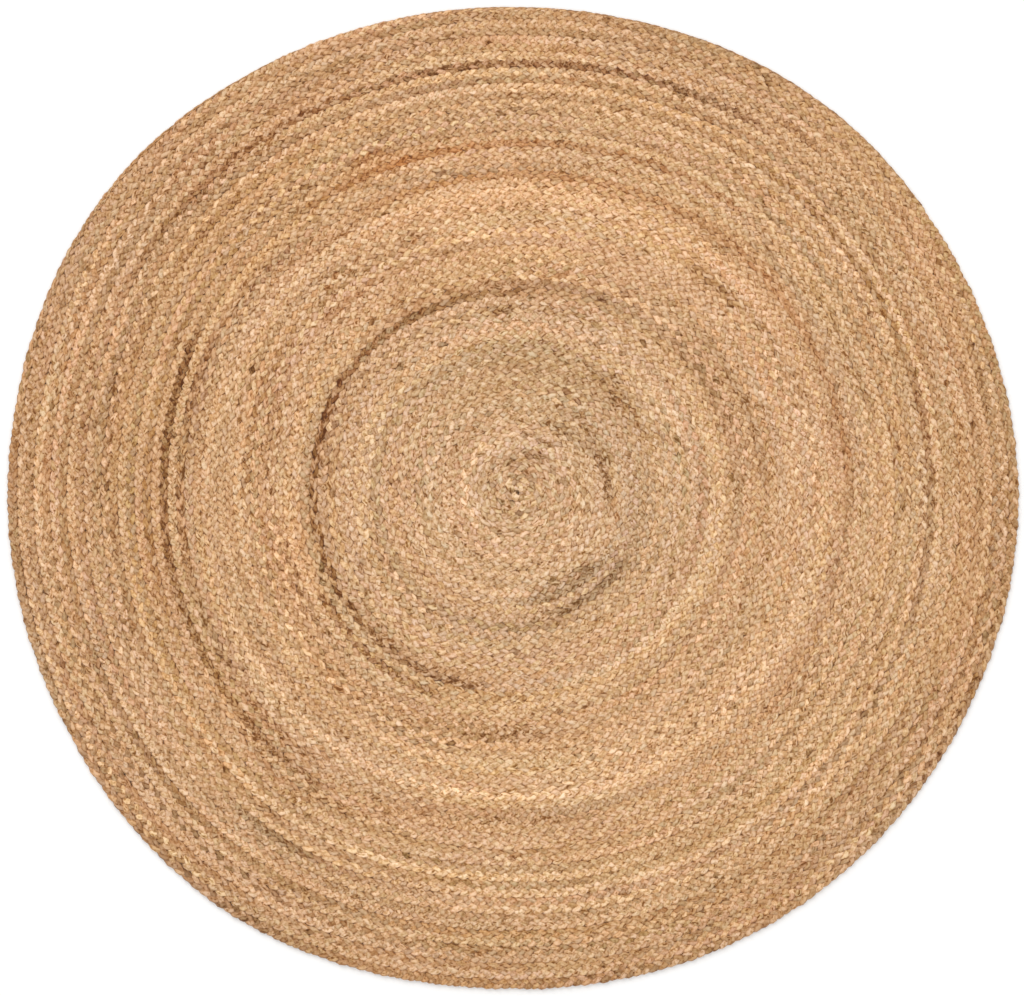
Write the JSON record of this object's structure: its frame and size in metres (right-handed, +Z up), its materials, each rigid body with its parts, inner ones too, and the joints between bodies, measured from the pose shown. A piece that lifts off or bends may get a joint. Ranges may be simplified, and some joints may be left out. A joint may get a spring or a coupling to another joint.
{
  "type": "round jute rug",
  "caption": "Round floor rug of braided jute: narrow plaits wound in a flat spiral and stitched edge to edge.",
  "frame": {"origin": "middle of the rug's bounding box on its underside, where it lies on the floor", "axes": "+Z up, out of the face that is walked on, +X along the rug's longest width, +Y along its other width, away from the viewer"},
  "size_m": [1.212, 1.177, 0.009],
  "materials": {
    "jute": "matt coarse bast fibre, undyed golden tan with paler and browner yarns"
  },
  "bodies": {
    "root": {"rug": "jute"}
  },
  "joints": []
}
